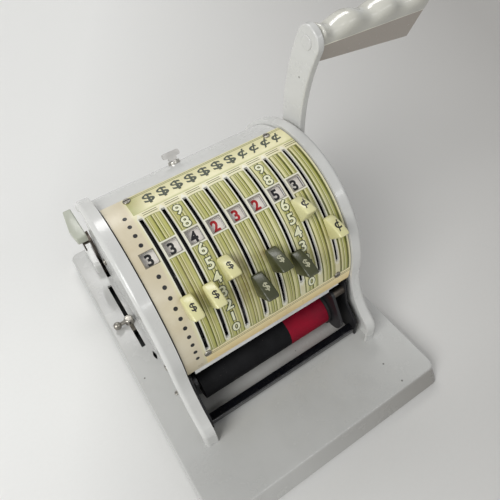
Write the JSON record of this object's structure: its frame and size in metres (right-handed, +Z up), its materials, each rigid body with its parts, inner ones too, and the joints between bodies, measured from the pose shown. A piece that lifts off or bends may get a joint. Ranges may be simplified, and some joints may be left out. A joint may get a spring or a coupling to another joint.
{
  "type": "check writer",
  "caption": "Desk check writer: sloping base, curved dial with slotted selector levers and reading windows, ink roller below, and a side handle that presses the platen.",
  "frame": {"origin": "on the table under the middle of the base, in the plane of the rubber feet", "axes": "+X towards the operator's right, where the handle is, +Y towards the back, +Z up"},
  "size_m": [0.3117, 0.331, 0.2682],
  "materials": {
    "grey_paint": "satin enamel, slightly chipped",
    "black_steel": "satin black enamel",
    "rubber": "matt",
    "nickel": "worn nickel plate",
    "printed_plate": "lithographed tin, satin",
    "lip_metal": "satin",
    "black_bar": "gloss black enamel",
    "table_steel": "dull, rubbed along X",
    "bright_steel": "turned",
    "spring_steel": "blued",
    "black_plastic": "matt",
    "black_felt": "inked foam rubber",
    "red_felt": "inked foam rubber",
    "grip_plastic": "gloss",
    "dark_steel": "tarnished",
    "key_plastic_grey": "satin",
    "segment_metal": "die cast, satin",
    "key_cream": "satin gloss",
    "key_olive": "satin gloss"
  },
  "bodies": {
    "casing": {"base_plate": "grey_paint", "bottom_cover": "black_steel", "rubber_feet": "rubber", "feet_screws": "nickel", "left_side_panel": "grey_paint", "right_side_panel": "grey_paint", "side_panel_screws": "nickel", "top_cover": "grey_paint", "lock_sleeve": "nickel", "dial_plate": "printed_plate", "dial_bed": "lip_metal", "dial_plate_screws": "nickel", "left_frame": "black_steel", "right_frame": "black_steel", "frame_screws": "nickel", "tie_rods": "black_steel", "guide_bar": "black_bar", "paper_table": "table_steel", "lever_shaft": "bright_steel", "shaft_clips": "bright_steel", "lever_spacers": "bright_steel", "detent_comb": "spring_steel", "base_rivets": "nickel", "inker_studs": "dark_steel", "platen_guides": "black_steel", "crank_bushing": "nickel", "handle_spring": "spring_steel", "guard_block": "grey_paint"},
    "lock": {"lock_key": "bright_steel"},
    "handle": {"handle_arm": "grey_paint", "handle_grip": "grip_plastic", "grip_bolt": "grey_paint", "crank_shaft": "nickel", "press_eccentric": "bright_steel"},
    "platen_lift": {"platen": "bright_steel", "platen_pad": "rubber", "platen_yoke": "black_steel"},
    "inker": {"inker_yoke": "black_steel"},
    "ink_roller": {"ink_roller_core": "black_plastic", "ink_roller_black": "black_felt", "ink_roller_red": "red_felt"},
    "clear_slider": {"clear_arm": "dark_steel", "clear_key": "key_plastic_grey"},
    "stop_slider": {"depth_stop": "nickel"},
    "lever_1": {"lever_segment_1": "segment_metal", "lever_key_1": "key_cream"},
    "lever_2": {"lever_segment_2": "segment_metal", "lever_key_2": "key_cream"},
    "lever_3": {"lever_segment_3": "segment_metal", "lever_key_3": "key_cream"},
    "lever_4": {"lever_segment_4": "segment_metal", "lever_key_4": "key_olive"},
    "lever_5": {"lever_segment_5": "segment_metal", "lever_key_5": "key_olive"},
    "lever_6": {"lever_segment_6": "segment_metal", "lever_key_6": "key_olive"},
    "lever_7": {"lever_segment_7": "segment_metal", "lever_key_7": "key_cream"},
    "lever_8": {"lever_segment_8": "segment_metal", "lever_key_8": "key_cream"}
  },
  "joints": [
    {"name": "lever_1_turn", "type": "hinge", "parent": "casing", "child": "lever_1", "pos_m": [-0.0578, 0.0056, 0.0975], "axis": [1, 0, 0], "range_deg": [-45.9, 30.6]},
    {"name": "lever_2_turn", "type": "hinge", "parent": "casing", "child": "lever_2", "pos_m": [-0.0403, 0.0056, 0.0975], "axis": [1, 0, 0], "range_deg": [-45.9, 30.6]},
    {"name": "lever_3_turn", "type": "hinge", "parent": "casing", "child": "lever_3", "pos_m": [-0.0228, 0.0056, 0.0975], "axis": [1, 0, 0], "range_deg": [-38.25, 38.25]},
    {"name": "lever_4_turn", "type": "hinge", "parent": "casing", "child": "lever_4", "pos_m": [-0.0053, 0.0056, 0.0975], "axis": [1, 0, 0], "range_deg": [-53.55, 22.95]},
    {"name": "lever_5_turn", "type": "hinge", "parent": "casing", "child": "lever_5", "pos_m": [0.0122, 0.0056, 0.0975], "axis": [1, 0, 0], "range_deg": [-45.9, 30.6]},
    {"name": "lever_6_turn", "type": "hinge", "parent": "casing", "child": "lever_6", "pos_m": [0.0297, 0.0056, 0.0975], "axis": [1, 0, 0], "range_deg": [-53.55, 15.3]},
    {"name": "lever_7_turn", "type": "hinge", "parent": "casing", "child": "lever_7", "pos_m": [0.0472, 0.0056, 0.0975], "axis": [1, 0, 0], "range_deg": [-30.6, 38.25]},
    {"name": "lever_8_turn", "type": "hinge", "parent": "casing", "child": "lever_8", "pos_m": [0.0647, 0.0056, 0.0975], "axis": [1, 0, 0], "range_deg": [-45.9, 22.95]},
    {"name": "handle_pull", "type": "hinge", "parent": "casing", "child": "handle", "pos_m": [0.094, 0.0205, 0.08], "axis": [1, 0, 0], "range_deg": [0, 60], "stiffness_Nm_per_rad": 0.9, "springref_deg": -34.38},
    {"name": "platen_rise", "type": "slide", "parent": "casing", "child": "platen_lift", "axis": [0, 0, 1], "range_m": [0, 0.0016]},
    {"name": "inker_swing", "type": "hinge", "parent": "casing", "child": "inker", "pos_m": [0, -0.0745, 0.064], "axis": [1, 0, 0], "range_deg": [0, 6.7]},
    {"name": "ink_roller_spin", "type": "hinge", "parent": "inker", "child": "ink_roller", "pos_m": [0, -0.0641, 0.036], "axis": [1, 0, 0], "continuous": true},
    {"name": "clear_slide", "type": "slide", "parent": "casing", "child": "clear_slider", "axis": [0, -1, 0], "range_m": [0, 0.018], "stiffness_N_per_m": 60, "springref_m": -0.004},
    {"name": "depth_stop_slide", "type": "slide", "parent": "casing", "child": "stop_slider", "axis": [0, 1, 0], "range_m": [-0.026, 0.048]},
    {"name": "lock_turn", "type": "hinge", "parent": "casing", "child": "lock", "pos_m": [-0.005, 0.04986, 0.16724], "axis": [0, 0.5358, 0.8443], "range_deg": [0, 90]}
  ],
  "couplings": [
    {"joint": "platen_rise", "follows": "handle_pull", "m_per_rad": 0.0014324},
    {"joint": "inker_swing", "follows": "handle_pull", "ratio": 0.11}
  ]
}
